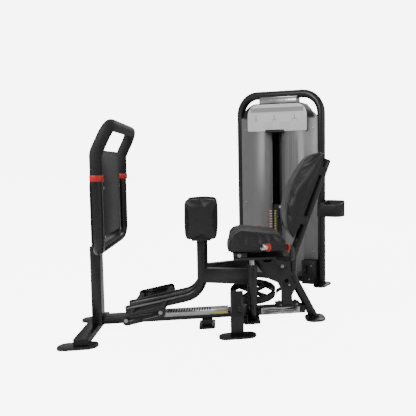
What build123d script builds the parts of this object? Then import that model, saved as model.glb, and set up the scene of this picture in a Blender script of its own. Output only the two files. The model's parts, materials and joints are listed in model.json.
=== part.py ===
"""Seated hip machine with a front shield post and a turned weight tower.

Millimetres, +Z up. While it is laid out, X = 0 is the front post, +X runs back to the seat,
and Y = 0 is the middle of the seat with the tower on the +Y side. The finished machine is
then moved so that its origin is the middle of its footprint on the floor.
"""
from build123d import *
import math
import os

# ---------------------------------------------------------------- driving dimensions
# base frame
beam_width = 60
beam_height = 45
beam_bottom = 49
beam_end_x = 1130
tube_wall = 4
foot_plate_thickness = 12
front_foot_half_span = 252
front_foot_tube_size = (72, 33)
outrigger_x = 734
outrigger_y = 245

# front post and shield
post_size = (50, 75)
post_top = 474
loop_diameter = 50
loop_half_width = 322
loop_x = 84
loop_bottom = 497
loop_bend = 962
loop_top = (147, 1102)
grip_wall = 4
clamp_z = 843
clamp_height = 30
clamp_wall = 6
panel_thickness = 6
inner_panel_gap = 77
inner_panel_height = 490
inner_panel_top = 981
outer_panel_height = 340
shield_bolt_inset = 45
shield_bolt_levels = (547, 793)

# leg arms
pivot_x = 820
pivot_y = 165
shaft_radius = 14
running_clearance = 0.05
hub_radius = 27
hub_bottom = 150
hub_height = 220
arm_tube_diameter = 54
arm_half_gap = 60
arm_post_x = 553
arm_tip = (157, 126)
arm_bend_z = 202
arm_bend_radius = 111
arm_top = 690
arm_beam_height = 80
arm_beam_width = 40
arm_beam_bottom = 264
pad_size = (180, 53, 227)
pad_bottom = 503
peg_diameter = 28
peg_reach = 272
peg_positions = (190, 354)
peg_plate_size = (208, 56)
peg_plate_thickness = 6

# cam wheel
cam_x = 831
cam_z = 183
cam_radius = 128
cam_rim = 16
cam_height = 40
cam_tilt = 12
cam_axle_radius = 12.5
cam_groove_width = 28
cam_groove_depth = 5
drive_belt_width = 24
belt_gap = 0.3
housing_inlet = (250, -84, 130)

# seat
seat_front_x = 683
seat_length = 340
seat_width = 400
seat_bottom = 445
seat_front_thickness = 106
seat_rear_thickness = 68
bridge_top = 412
bridge_thickness = 12
stand_half_gap = 40
stand_plate = 8
spine_diameter = 50
spine_top = (1264, 938)
back_width = 380
back_heel = (1056, 522)
back_head = (1232, 975)
back_top_width = 270
handle_diameter = 25
grip_diameter = 33
ring_diameter = 42

# tower
tower_x = 1104
tower_y = 1055
tower_turn = 34.3
arch_diameter = 60
arch_half_width = 344
arch_height = 1472
arch_corner = 150
shroud_front = -50
shroud_flange = -25
shroud_bottom = 72
sheet = 3
slot_edges = (-100, 66)
slot_lips = (-72, 16)
lip_depth = -4
cover_half_width = 262
cover_rear = 212
cover_corner = 200
base_rail_width = 50
stack_x = -20
stack_y = 55
plate_size = (230, 100)
plate_pitch = 13
plate_count = 30
plates_lifted = 5
stack_bottom = 173
plate_gap = 0.6
head_height = 40
rod_radius = 10
rod_half_pitch = 85
pulley_radius = 55
bracket_drop = 37
bracket_height = 43
pulley_drop = 85
shroud_drop = 105
cover_drop = 3
placard_drop = 109
placard_size = (504, 202)
belt_width = 30
belt_thickness = 3
tray_size = (190, 150)
tray_centre = (434, -27)
tray_bottom = 532
tray_height = 116
tray_rim_fall = 30
tray_wall = 7
link_start_x = 1035
link_end_s = 40
link_size = (60, 40)

parts = {}
panel_screws = []


def block(x0, x1, y0, y1, z0, z1):
    """A box between two corners."""
    return Pos((x0 + x1) / 2, (y0 + y1) / 2, (z0 + z1) / 2) * Box(x1 - x0, y1 - y0, z1 - z0)


def rod(start, end, radius, bore=0):
    """A round bar from start to end, with an optional bore."""
    start = Vector(start)
    end = Vector(end)
    plane = Plane(origin=start, z_dir=end - start)
    section = Circle(radius)
    if bore:
        section = section - Circle(bore)
    return extrude(plane * section, (end - start).length)


def bent_tube(points, radii, outer, inner=0):
    """A round tube along straight runs joined by tangent bends."""
    path = FilletPolyline(*points, radius=radii)
    section = Circle(outer)
    if inner:
        section = section - Circle(inner)
    return sweep(Plane(origin=path @ 0, z_dir=path % 0) * section, path=path)


def both_sides(shape):
    """The shape and its mirror image across the seat's middle plane."""
    return [shape, mirror(shape, about=Plane.XZ)]


def round_plate(x, y, length, width, corner, z0, thickness):
    """A flat plate with rounded corners."""
    return Pos(x, y, z0) * extrude(RectangleRounded(length, width, corner), thickness)


def add(name, *shapes):
    """Keeps the shapes as one named node."""
    solids = []
    for shape in shapes:
        if isinstance(shape, (list, tuple)):
            for item in shape:
                solids.extend(item.solids())
        else:
            solids.extend(shape.solids())
    parts[name] = solids


beam_top = beam_bottom + beam_height
bracket_bottom = arch_height - arch_diameter - bracket_drop
pulley_z = bracket_bottom - pulley_drop
shroud_top = bracket_bottom - shroud_drop
cover_top = bracket_bottom - cover_drop
placard_mid = bracket_bottom - placard_drop
notch_top = placard_mid - 90
beam_half = beam_width / 2
loop_radius = loop_diameter / 2
loop_bore = loop_radius - tube_wall
grip_bore = loop_radius + 0.2
tower = Location((tower_x, tower_y, 0), (0, 0, -tower_turn))


# ---------------------------------------------------------------- front post and shield
def front_post_group():
    foot_width, foot_height = front_foot_tube_size
    foot_top = foot_plate_thickness + foot_height
    half = foot_width / 2
    outer = block(-half, half, -front_foot_half_span, front_foot_half_span,
                  foot_plate_thickness, foot_top)
    inner = block(-half + tube_wall, half - tube_wall, -front_foot_half_span, front_foot_half_span,
                  foot_plate_thickness + tube_wall, foot_top - tube_wall)
    add("front_foot_tube", Pos(-31, 0, 0) * (outer - inner))

    post_x, post_y = post_size
    post_outer = block(-post_x / 2, post_x / 2, -post_y / 2, post_y / 2, foot_top, post_top)
    post_inner = block(-post_x / 2 + tube_wall, post_x / 2 - tube_wall, -post_y / 2 + tube_wall,
                       post_y / 2 - tube_wall, foot_top, post_top - tube_wall)
    add("front_post", post_outer - post_inner)

    top_x, top_z = loop_top
    y = loop_half_width
    route = [(15, -8, 449), (loop_x, -y, loop_bottom), (loop_x, -y, loop_bend), (top_x, -y, top_z),
             (top_x, y, top_z), (loop_x, y, loop_bend), (loop_x, y, loop_bottom), (15, 8, 449)]
    bends = [70, 90, 70, 70, 90, 70]
    loop = bent_tube(route, bends, loop_radius, loop_bore)
    loop_solid = bent_tube(route, bends, loop_radius)
    add("shield_frame", loop - post_outer)

    clamp_top = clamp_z + clamp_height / 2
    grip_route = [(loop_x, -y, clamp_top)] + route[2:6] + [(loop_x, y, clamp_top)]
    add("shield_grip", bent_tube(grip_route, bends[1:5], loop_radius + grip_wall, grip_bore))
    clamp = rod((loop_x, -y, clamp_top - clamp_height), (loop_x, -y, clamp_top),
                loop_radius + clamp_wall, grip_bore)
    add("shield_clamps", both_sides(clamp))

    # the outer panel lies on the legs' front side, and the inner one stands off it on spacers
    outer_face = loop_x - loop_radius
    panel_mid = clamp_z - outer_panel_height / 2 - 2
    outer_panel = Plane(origin=(outer_face - panel_thickness, 0, panel_mid), x_dir=(0, 1, 0),
                        z_dir=(1, 0, 0)) * RectangleRounded(2 * y + 20, outer_panel_height, 40)
    inner_x = loop_x - 4
    panel_width = 2 * (loop_half_width - inner_panel_gap)
    inner_mid = inner_panel_top - inner_panel_height / 2
    inner_panel = Plane(origin=(inner_x, 0, inner_mid), x_dir=(0, 1, 0),
                        z_dir=(1, 0, 0)) * RectangleRounded(panel_width, inner_panel_height, 55)
    bolts = []
    bolt_holes = []
    for level in shield_bolt_levels:
        for side in (-1, 1):
            at = side * (panel_width / 2 - shield_bolt_inset)
            bolts.append(rod((inner_x + panel_thickness, at, level),
                             (inner_x + panel_thickness + 5, at, level), 9)
                         + rod((outer_face, at, level), (inner_x + panel_thickness, at, level), 4)
                         + rod((outer_face, at, level), (inner_x, at, level), 10))
            bolt_holes.append(rod((inner_x - 1, at, level),
                                   (inner_x + panel_thickness + 1, at, level), 4))
    outer_solid = extrude(outer_panel, panel_thickness) - loop_solid
    for copy in both_sides(clamp):
        outer_solid = outer_solid - copy
    add("outer_panel", outer_solid)
    inner_solid = extrude(inner_panel, panel_thickness) - loop_solid
    for hole in bolt_holes:
        inner_solid = inner_solid - hole
    add("inner_panel", inner_solid)
    add("shield_bolts", bolts)


# ---------------------------------------------------------------- base
def spine_solid(outer, inner):
    tube = bent_tube([(spine_top[0], 0, spine_top[1]), (1062, 0, 380), (1056, 0, 262), (1192, 0, 0)],
                     [90, 80], outer, inner)
    return tube - block(1000, 1400, -100, 100, -100, foot_plate_thickness)


def base_group():
    post_front = post_size[0] / 2
    spine_full = spine_solid(spine_diameter / 2, 0)
    beam = block(post_front, beam_end_x, -beam_half, beam_half, beam_bottom, beam_top)
    hollow = block(post_front, beam_end_x, -beam_half + tube_wall, beam_half - tube_wall,
                   beam_bottom + tube_wall, beam_top - tube_wall)
    brackets = []
    for side in (-1, 1):
        low, high = sorted((side * beam_half, side * (pivot_y + 35)))
        brackets.append(block(pivot_x - 45, pivot_x + 40, low, high, beam_bottom, beam_bottom + 12))
    weldment = beam - hollow + block(545, 601, -55, 55, foot_plate_thickness, beam_bottom)
    for bracket in brackets:
        weldment = weldment + bracket
    add("main_beam", weldment - spine_full)
    add("spine_tube", spine_solid(spine_diameter / 2, spine_diameter / 2 - tube_wall))

    tread_x0, tread_x1, tread_half, skirt = 345, 690, 50, 19
    tread = block(tread_x0, tread_x1, -tread_half, tread_half, beam_top - skirt, beam_top + sheet)
    tread = tread - block(tread_x0, tread_x1, -tread_half + sheet, tread_half - sheet,
                          beam_top - skirt, beam_top)
    add("tread_cover", tread)
    trim_x0, trim_x1 = 872, 1097
    trim = block(trim_x0, trim_x1, -beam_half - sheet, -beam_half, beam_bottom + 2, beam_top - 2)
    screws = []
    for x in (890, 985, 1080):
        trim = trim - rod((x, -beam_half - sheet, 72), (x, -beam_half, 72), 3)
        screws.append(rod((x, -beam_half - sheet - 3, 72), (x, -beam_half - sheet, 72), 6)
                      + rod((x, -beam_half - sheet, 72), (x, -beam_half, 72), 3))
    add("side_trim", both_sides(trim))
    for screw in screws:
        panel_screws.extend(both_sides(screw))

    # bent outrigger on the entry side, with its cross tube to the beam
    section = RectangleRounded(68, 40, 6) - RectangleRounded(60, 32, 4)
    route = FilletPolyline((outrigger_x, -outrigger_y, foot_plate_thickness),
                           (outrigger_x, -outrigger_y, 118), (outrigger_x, -185, 228), radius=60)
    leg = sweep(Plane(origin=route @ 0, x_dir=(1, 0, 0), z_dir=route % 0) * section, path=route)
    cross = block(740, 790, -225, -beam_half, beam_bottom + 12, 110)
    cross = cross - block(744, 786, -225, -beam_half, beam_bottom + 16, 106)
    knob_y = -outrigger_y - 20
    pin_bore = rod((752, -330, 160), (752, -150, 160), 6 + running_clearance)
    add("outrigger_leg", leg + cross - pin_bore)
    knob = rod((752, knob_y - 30, 160), (752, knob_y, 160), 18)
    add("stop_knob", knob + rod((752, knob_y, 160), (752, -160, 160), 6))

    plates = [
        round_plate(-47, -242, 190, 100, 45, 0, foot_plate_thickness),
        round_plate(-47, 242, 190, 100, 45, 0, foot_plate_thickness),
        round_plate(736, -outrigger_y, 195, 95, 45, 0, foot_plate_thickness),
        round_plate(573, 0, 88, 150, 20, 0, foot_plate_thickness),
        round_plate(1192, 0, 115, 150, 50, 0, foot_plate_thickness),
    ]
    for side in (-1, 1):
        plates.append(tower * round_plate(side * 350, 0, 95, 180, 40, 0, foot_plate_thickness))
        plates.append(tower * round_plate(side * (cover_half_width - base_rail_width / 2),
                                          cover_rear - base_rail_width / 2, 60, 60, 20, 0,
                                          foot_plate_thickness))
    add("foot_plates", plates)


# ---------------------------------------------------------------- pivots, stand and seat
def seat_group():
    bridge_bottom = bridge_top - bridge_thickness
    bracket_top = beam_bottom + 12
    shaft = rod((pivot_x, -pivot_y, bracket_top), (pivot_x, -pivot_y, bridge_bottom), shaft_radius)
    add("pivot_shafts", both_sides(shaft))

    spine_full = spine_solid(spine_diameter / 2, 0)
    flange = block(960, 1100, -58, 58, beam_top, beam_top + 10)
    outline = Polyline((997, 104), (1051, 104), (1051, 160), (1078, 214), (1050, 262), (1044, 330),
                       (1040, 400), (945, 400), (945, 372), (930, 357), (895, 357), (880, 372),
                       (880, 400), (842, 400), (842, 352), (915, 262), (968, 238), (997, 176),
                       close=True)
    face = Plane(origin=(0, -stand_half_gap, 0), x_dir=(1, 0, 0),
                 z_dir=(0, -1, 0)) * make_face(outline)
    cheek = extrude(face, stand_plate)
    for x, z, radius in ((1019, 246, 12), (996, 331, 6)):
        cheek = cheek - rod((x, -100, z), (x, 0, z), radius)
    spacer = block(1000, 1060, -stand_half_gap, stand_half_gap, 275, 300) - spine_full
    bridge = block(720, 1030, -195, 195, bridge_bottom, bridge_top)
    stand = flange + bridge + spacer
    for copy in both_sides(cheek):
        stand = stand + copy
    add("seat_stand", stand)

    pan = block(seat_front_x + 25, seat_front_x + seat_length - 25, -165, 165, seat_bottom - 8,
                seat_bottom)
    rail = block(720, 793, -190, -120, bridge_top, seat_bottom - 8)
    rear_rail = block(900, 985, -160, -120, bridge_top, seat_bottom - 8)
    for copy in both_sides(rail) + both_sides(rear_rail):
        pan = pan + copy
    add("seat_pan", pan)

    rear_x = seat_front_x + seat_length
    side = Plane.XZ * make_face(Polyline(
        (seat_front_x, seat_bottom), (rear_x, seat_bottom),
        (rear_x, seat_bottom + seat_rear_thickness - 14),
        (rear_x - 20, seat_bottom + seat_rear_thickness),
        (seat_front_x + 35, seat_bottom + seat_front_thickness),
        (seat_front_x + 6, seat_bottom + seat_front_thickness - 28), close=True))
    plan = Pos((seat_front_x + rear_x) / 2, 0, seat_bottom) * extrude(
        RectangleRounded(seat_length, seat_width, 45), seat_front_thickness)
    add("seat_cushion", extrude(side, seat_width / 2, both=True) & plan)

    # backrest: a side outline cut to a front outline that narrows to the top
    profile = Plane.XZ * make_face(Polyline(
        (1006, 548), (1012, 690), (1050, 790), (1168, 985), (1200, 1000), back_head,
        (1046.3, 497), (1032, 500), close=True))
    front = Plane(origin=(950, 0, 0), x_dir=(0, 1, 0), z_dir=(1, 0, 0)) * make_face(Polyline(
        (-back_width / 2 + 30, 497), (back_width / 2 - 30, 497), (back_width / 2, 560),
        (back_width / 2, 770), (back_top_width / 2, 985), (back_top_width / 2 - 25, 1005),
        (-back_top_width / 2 + 25, 1005), (-back_top_width / 2, 985), (-back_width / 2, 770),
        (-back_width / 2, 560), close=True))
    add("back_cushion", extrude(profile, back_width / 2, both=True) & extrude(front, 320))
    heel_point = Vector(back_heel[0], 0, back_heel[1])
    lean = (Vector(back_head[0], 0, back_head[1]) - heel_point).normalized()
    away = Vector(lean.Z, 0, -lean.X)
    board_mid = heel_point + lean * 240 + away * 6.3
    board = Plane(origin=board_mid, x_dir=lean, z_dir=away) * Box(400, 250, 12)
    mounts = board
    for along in (90, 390):
        at = heel_point + lean * along + away * (12.3 + 20)
        mounts = mounts + Plane(origin=at, x_dir=lean, z_dir=away) * Box(50, 90, 40)
    add("back_mounts", mounts - spine_full)

    # splayed hand grips
    tip = Vector(862, -420, 500)
    heel = Vector(995, -323, 482)
    along = (heel - tip).normalized()
    route = [tip, heel + along * 32, (1024, -268, 406), (955, -185, 406)]
    tube = bent_tube(route, [26, 26], handle_diameter / 2)
    cut = stand + pan
    add("handle_tubes", both_sides(tube - cut))
    bore = handle_diameter / 2 + 0.1
    length = (heel - tip).length
    add("handle_tips", both_sides(rod(tip - along * 6, tip, 14)
                                  + rod(tip, tip + along * 30, 14, bore)))
    rings = []
    for start in (30, length - 6):
        rings.append(rod(tip + along * start, tip + along * (start + 6), ring_diameter / 2, bore))
    add("handle_rings", [copy for ring in rings for copy in both_sides(ring)])
    add("handle_grips", both_sides(rod(tip + along * 36, tip + along * (length - 6),
                                       grip_diameter / 2, bore)))


# ---------------------------------------------------------------- cam wheel and drive belt
def cam_group():
    tilt = Location((cam_x, 0, cam_z), (cam_tilt, 0, 0))
    half = cam_height / 2
    rim = Circle(cam_radius) - Circle(cam_radius - cam_rim)
    wheel = Pos(0, 0, -half) * extrude(rim, cam_height)
    groove_floor = cam_radius - cam_groove_depth
    groove = Pos(0, 0, -cam_groove_width / 2) * extrude(
        Circle(cam_radius + 1) - Circle(groove_floor), cam_groove_width)
    wheel = wheel - groove
    hub = Pos(0, 0, -half) * extrude(Circle(28), cam_height)
    spokes = hub
    for turn in (45, 135, 225, 315):
        spokes = spokes + Rot(0, 0, turn) * block(20, cam_radius - cam_rim + 2, -11, 11, -10, 6)
    bore = Pos(0, 0, -half - 1) * extrude(Circle(cam_axle_radius + running_clearance),
                                         cam_height + 2)
    add("cam_wheel", tilt * (wheel + spokes - bore))

    beam_block = block(cam_x - 60, cam_x + 60, -beam_half, beam_half, 0, beam_top)
    axle = Pos(0, 0, -120) * extrude(Circle(cam_axle_radius), 120 + half + 12)
    axle = axle + Pos(0, 0, half + 1) * extrude(Circle(20), 8)
    axle = axle + Pos(0, 0, -120) * extrude(Circle(24), 120 - half - 1)
    add("cam_axle", tilt * axle - beam_block - block(700, 960, -100, 100, 0, beam_top))

    # the belt lies in the wheel's groove, then runs straight to the low pulley housing
    inlet_x, inlet_y, inlet_z = housing_inlet
    inlet = (tower * Pos(inlet_x, inlet_y, inlet_z)).position
    away = Vector(inlet.X - cam_x, inlet.Y, 0).normalized()
    beside = Vector(away.Y, -away.X, 0)
    belt_inner = groove_floor + belt_gap
    start = Vector(cam_x, 0, 0) + beside * (belt_inner + belt_thickness / 2) + away * 42
    start = Vector(start.X, start.Y, cam_z + start.Y * math.tan(math.radians(cam_tilt)))
    run = inlet - start
    strip = Plane(origin=(start + inlet) * 0.5, x_dir=run, z_dir=run.cross(Vector(0, 0, 1)))
    low_run = strip * Box(run.length, drive_belt_width, belt_thickness)
    lap = Circle(belt_inner + belt_thickness) - Circle(belt_inner)
    lap = Pos(0, 0, -drive_belt_width / 2) * extrude(lap, drive_belt_width)
    lap = lap & block(-150, 150, -150, 0, -50, 50)
    rear_y = stack_y + 2 * pulley_radius
    wrap_in = pulley_radius + belt_gap
    wrap = Plane(origin=(stack_x - belt_width / 2, stack_y + pulley_radius, pulley_z),
                 x_dir=(0, 1, 0), z_dir=(1, 0, 0)) * (
        Circle(wrap_in + belt_thickness) - Circle(wrap_in))
    wrap = extrude(wrap, belt_width) & block(-200, 200, -50, 300, pulley_z, pulley_z + 100)
    rear = block(stack_x - belt_width / 2, stack_x + belt_width / 2, rear_y + belt_gap,
                 rear_y + belt_gap + belt_thickness, 110, pulley_z)
    add("drive_belt", low_run, tilt * lap, tower * (wrap + rear))


# ---------------------------------------------------------------- leg arms
def arm_solids(side):
    """One welded leg arm: pivot hub, box beam and bent tube. side is -1 near, +1 tower side."""
    y = side * arm_half_gap
    tip_x, tip_z = arm_tip
    radius = arm_tube_diameter / 2
    bore = radius - tube_wall + 1
    route = [(tip_x, y, tip_z), (arm_post_x, y, arm_bend_z), (arm_post_x, y, arm_top)]
    tube = bent_tube(route, [arm_bend_radius], radius)
    tube_bore = bent_tube(route, [arm_bend_radius], bore)
    pivot = Vector(pivot_x, side * pivot_y, 0)
    foot = Vector(arm_post_x, y, 0)
    run = pivot - foot
    plane = Plane(origin=foot + Vector(0, 0, arm_beam_bottom + arm_beam_height / 2), x_dir=run,
                  z_dir=(0, 0, 1))
    beam = plane * Pos(run.length / 2, 0, 0) * Box(run.length, arm_beam_width, arm_beam_height)
    inner_length = run.length - 2 * hub_radius
    beam_bore = plane * Pos(run.length / 2, 0, 0) * Box(
        inner_length, arm_beam_width - 2 * tube_wall, arm_beam_height - 2 * tube_wall)
    hub = Pos(pivot.X, pivot.Y, hub_bottom) * extrude(Circle(hub_radius), hub_height)
    hub_bore = Pos(pivot.X, pivot.Y, hub_bottom) * extrude(
        Circle(shaft_radius + running_clearance), hub_height)
    frame = tube + beam + hub - tube_bore - beam_bore - hub_bore
    return frame, tube


def arm_group(name, side):
    frame, tube = arm_solids(side)
    add(name + "_arm_frame", frame)
    tube_out = arm_half_gap + arm_tube_diameter / 2
    pad_x, pad_y, pad_z = pad_size
    plate = 5

    def strip(x0, x1, out0, out1, z0, z1):
        low, high = sorted((side * out0, side * out1))
        return block(x0, x1, low, high, z0, z1)

    half = pad_x / 2
    back = tube_out + plate
    pad_mid = Vector(arm_post_x, side * (back + pad_y / 2), pad_bottom + pad_z / 2)
    pad_plane = Plane(origin=(pad_mid.X, side * back, pad_mid.Z), x_dir=(1, 0, 0),
                      z_dir=(0, side, 0))
    pad = extrude(pad_plane * RectangleRounded(2 * half, pad_z, 28), pad_y)
    add(name + "_pad", pad)
    bracket = strip(arm_post_x - 50, arm_post_x + 50, tube_out, back, 496, 716)
    for z0 in (520, 640):
        bracket = bracket + strip(arm_post_x - 32, arm_post_x + 32, tube_out - 24, tube_out,
                                  z0, z0 + 40)
    add(name + "_pad_bracket", bracket - tube)

    slope = (arm_bend_z - arm_tip[1]) / (arm_post_x - arm_tip[0])
    pegs = []
    bolts = []
    holes = []
    for x in peg_positions:
        z = arm_tip[1] + slope * (x - arm_tip[0])
        inner = (x, side * arm_half_gap, z)
        face = (x, side * peg_reach, z)
        outer = (x, side * (peg_reach + peg_plate_thickness), z)
        head = (x, side * (peg_reach + peg_plate_thickness + 6), z)
        pegs.append(rod(inner, face, peg_diameter / 2) - tube)
        bolts.append(rod(face, outer, 5) + rod(outer, head, 10))
        holes.append(rod(face, outer, 5))
    add(name + "_pegs", pegs)
    add(name + "_peg_bolts", bolts)
    mid_x = sum(peg_positions) / 2 + 2
    mid_z = arm_tip[1] + slope * (mid_x - arm_tip[0])
    plate_plane = Plane(origin=(mid_x, side * peg_reach, mid_z), x_dir=(1, 0, slope),
                        z_dir=(0, side, 0))
    guard = extrude(plate_plane * RectangleRounded(*peg_plate_size, 20), peg_plate_thickness)
    for hole in holes:
        guard = guard - hole
    add(name + "_peg_plate", guard)


# ---------------------------------------------------------------- weight tower
def tower_group():
    arch_radius = arch_diameter / 2
    top = arch_height - arch_radius
    w = arch_half_width
    route = [(-w, 0, foot_plate_thickness), (-w, 0, top), (w, 0, top), (w, 0, foot_plate_thickness)]
    arch_full = bent_tube(route, [arch_corner, arch_corner], arch_radius)
    add("tower_arch", tower * bent_tube(route, [arch_corner, arch_corner], arch_radius,
                                        arch_radius - tube_wall))

    deck = 70
    rail_low = 20
    rail_in = cover_half_width - base_rail_width
    rail_front = cover_rear - base_rail_width
    base = block(-w, w, -25, 25, rail_low, deck)
    base = base + block(-cover_half_width, cover_half_width, rail_front, cover_rear, rail_low, deck)
    for side in (-1, 1):
        low, high = sorted((side * rail_in, side * cover_half_width))
        base = base + block(low, high, 0, cover_rear, rail_low, deck)
        base = base + block(low, high, rail_front, cover_rear, foot_plate_thickness, rail_low)
    base = base + block(-rail_in, rail_in, 0, stack_y + plate_size[1] / 2, deck - 8, deck)
    base = base + block(stack_x - 110, stack_x + 110, 20, 90, deck, stack_bottom - 6)
    base = base - arch_full
    rods = []
    for side in (-1, 1):
        x = stack_x + side * rod_half_pitch
        base = base - rod((x, stack_y, deck), (x, stack_y, stack_bottom), rod_radius)
        rods.append(rod((x, stack_y, deck), (x, stack_y, bracket_bottom), rod_radius))
    add("tower_base", tower * base)
    add("guide_rods", [tower * item for item in rods])

    # front shell halves: a sheet bent round a slot edge, a flat front and a side flange
    left, right = slot_edges
    shells = {}
    for name, edge, lip, side in (("shroud_left", left, slot_lips[0], -1),
                                  ("shroud_right", right, slot_lips[1], 1)):
        line = Polyline((lip, lip_depth), (edge, shroud_front + 6), (edge + side * 8, shroud_front),
                        (side * 226, shroud_front), (side * 262, shroud_flange),
                        (side * 326, shroud_flange))
        shell = Pos(0, 0, shroud_bottom) * extrude(trace(line, sheet), shroud_top - shroud_bottom)
        shells[name] = shell - arch_full
    # the tower-side lower corner makes room for the pulley housing
    housing_box = (222, 322, -92, -8, 22, 198)
    shells["shroud_right"] = shells["shroud_right"] - block(220, 340, -100, 20, 0, 200)
    screws = []
    for x, levels in ((-290, (620, 1180)), (290, (260, 720, 1180))):
        for z in levels:
            front = shroud_flange - sheet / 2
            screws.append(rod((x, front - 3, z), (x, front, z), 6))
    for name, shell in shells.items():
        add(name, tower * shell)

    cover = block(*housing_box)
    cover = cover - block(225, 319, -89, -8, 25, 195)
    cover = cover - block(236, 268, -93, -80, 100, 160)
    add("pulley_cover", tower * (cover - block(-w, w, -25, 25, rail_low, deck) - arch_full))
    for x, z in ((305, 160), (285, 60)):
        screws.append(rod((x, -96, z), (x, -92, z), 8))
    screw_z = bracket_bottom + bracket_height / 2
    for x in (-60, 60):
        screws.append(rod((x, -44, screw_z), (x, -40, screw_z), 6))
    panel_screws.extend(tower * screw for screw in screws)

    front = shroud_front - sheet / 2
    header = Plane(origin=(0, front, 0), x_dir=(1, 0, 0), z_dir=(0, -1, 0))
    sign = header * Pos(0, placard_mid, 0) * RectangleRounded(*placard_size, 12)
    sign = extrude(sign, sheet)
    corner_cut = header * Pos(0, placard_mid - 39, 0) * RectangleRounded(
        placard_size[0], placard_size[1] + 78, 85)
    sign = sign & (Pos(0, 1, 0) * extrude(corner_cut, sheet + 2))
    sign = sign - block(left + sheet, right - sheet, front - 10, front + 1,
                        notch_top - 26, notch_top)
    add("placard", tower * sign)
    web = header * Pos(0, bracket_bottom - 150, 0) * RectangleRounded(600, 300, 125)
    web = Pos(0, 27, 0) * extrude(web, 20) & block(-400, 400, -80, 60, shroud_top,
                                                      bracket_bottom)
    web = web + block(left + 3, right - 3, front, front + 4, notch_top, shroud_top)
    web = web - arch_full
    add("header_panel", tower * web)

    bracket = block(-158, 158, -40, -25, bracket_bottom, bracket_bottom + bracket_height)
    shelf = block(-158, 158, -25, 175, bracket_bottom, bracket_bottom + 8)
    ears = shelf
    for side in (-1, 1):
        x = stack_x + side * 27
        ears = ears + block(x - 3, x + 3, stack_y + 30, stack_y + 80, pulley_z - 25,
                            bracket_bottom)
    hub_line = ((stack_x - 30, stack_y + pulley_radius, pulley_z),
                (stack_x + 30, stack_y + pulley_radius, pulley_z))
    ears = ears + rod(*hub_line, 10)
    rib = block(-158, 158, -25, 25, bracket_bottom + 8, bracket_bottom + 55)
    add("top_bracket", tower * (bracket + ears + rib - arch_full))
    pulley = rod((stack_x - 20, stack_y + pulley_radius, pulley_z),
                 (stack_x + 20, stack_y + pulley_radius, pulley_z), pulley_radius + 5)
    pulley = pulley - rod((stack_x - 17, stack_y + pulley_radius, pulley_z),
                          (stack_x + 17, stack_y + pulley_radius, pulley_z),
                          pulley_radius + 6, pulley_radius)
    pulley = pulley - rod((stack_x - 21, stack_y + pulley_radius, pulley_z),
                          (stack_x + 21, stack_y + pulley_radius, pulley_z),
                          10 + running_clearance)
    add("top_pulley", tower * pulley)

    def rounded_block(inset, front):
        """The rear cover's outline, moved in by inset, standing on the deck."""
        half = cover_half_width - inset
        top = cover_top - inset
        upright = Plane(origin=(0, front, top - 1000), x_dir=(1, 0, 0), z_dir=(0, 1, 0))
        solid = extrude(upright * RectangleRounded(2 * half, 2000, cover_corner - inset),
                        cover_rear - inset - front)
        return solid & block(-half, half, front, cover_rear, deck, top)

    cover_front = arch_radius + 3
    shell = rounded_block(0, cover_front) - rounded_block(sheet, cover_front - 5)
    shell = shell - block(-158, 158, cover_front - 3, stack_y + 125, cover_top - 12, cover_top + 28)
    add("rear_cover", tower * shell)

    # weight stack
    half_x = plate_size[0] / 2
    half_y = plate_size[1] / 2
    stem_radius = 11
    resting = []
    lifted = []
    for index in range(plate_count):
        z0 = stack_bottom + index * plate_pitch
        z1 = z0 + plate_pitch - plate_gap
        plate = block(stack_x - half_x, stack_x + half_x, stack_y - half_y, stack_y + half_y,
                      z0, z1)
        for side in (-1, 1):
            x = stack_x + side * rod_half_pitch
            plate = plate - rod((x, stack_y, z0), (x, stack_y, z1), rod_radius + 1)
        plate = plate - rod((stack_x, stack_y, z0), (stack_x, stack_y, z1), stem_radius + 1)
        slot = rod((stack_x, stack_y - half_y, z1 - 6), (stack_x, stack_y, z1 - 6), 4)
        plate = plate - slot
        if index < plate_count - plates_lifted:
            resting.append(tower * plate)
        else:
            lifted.append(tower * plate)
    # the lowest plate rests on a thin rubber mat
    resting.append(tower * (block(stack_x - 100, stack_x + 100, 25, 85, stack_bottom - 6,
                                  stack_bottom)
                            - rod((stack_x - rod_half_pitch, stack_y, stack_bottom - 6),
                                  (stack_x - rod_half_pitch, stack_y, stack_bottom), rod_radius)
                            - rod((stack_x + rod_half_pitch, stack_y, stack_bottom - 6),
                                  (stack_x + rod_half_pitch, stack_y, stack_bottom), rod_radius)))
    add("resting_plates", resting)
    add("lifted_plates", lifted)

    stack_top = stack_bottom + plate_count * plate_pitch
    head = block(stack_x - half_x, stack_x + half_x, stack_y - half_y, stack_y + half_y, stack_top,
                 stack_top + head_height)
    for side in (-1, 1):
        x = stack_x + side * rod_half_pitch
        head = head - rod((x, stack_y, stack_top), (x, stack_y, stack_top + head_height),
                          rod_radius + 1)
    pin_z = stack_bottom + (plate_count - plates_lifted) * plate_pitch + plate_pitch - plate_gap - 6
    stem = rod((stack_x, stack_y, stack_bottom + 10), (stack_x, stack_y, stack_top), stem_radius)
    stem = stem - rod((stack_x, stack_y - 20, pin_z), (stack_x, stack_y + 8, pin_z), 4)
    add("head_plate", tower * (head + stem))
    add("selector_pin", tower * (
        rod((stack_x, stack_y - half_y - 26, pin_z), (stack_x, stack_y - half_y - 1, pin_z), 13)
        + rod((stack_x, stack_y - half_y - 1, pin_z), (stack_x, stack_y + 6, pin_z),
              4 - running_clearance)))
    knob_x = stack_x + 20
    add("increment_knob", tower * (
        rod((knob_x, stack_y - half_y - 16, stack_top + 24), (knob_x, stack_y - half_y, stack_top
                                                              + 24), 10)))
    add("lift_belt", tower * block(stack_x - belt_width / 2, stack_x + belt_width / 2,
                                   stack_y - belt_thickness - belt_gap, stack_y - belt_gap,
                                   stack_top + head_height, pulley_z))

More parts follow.
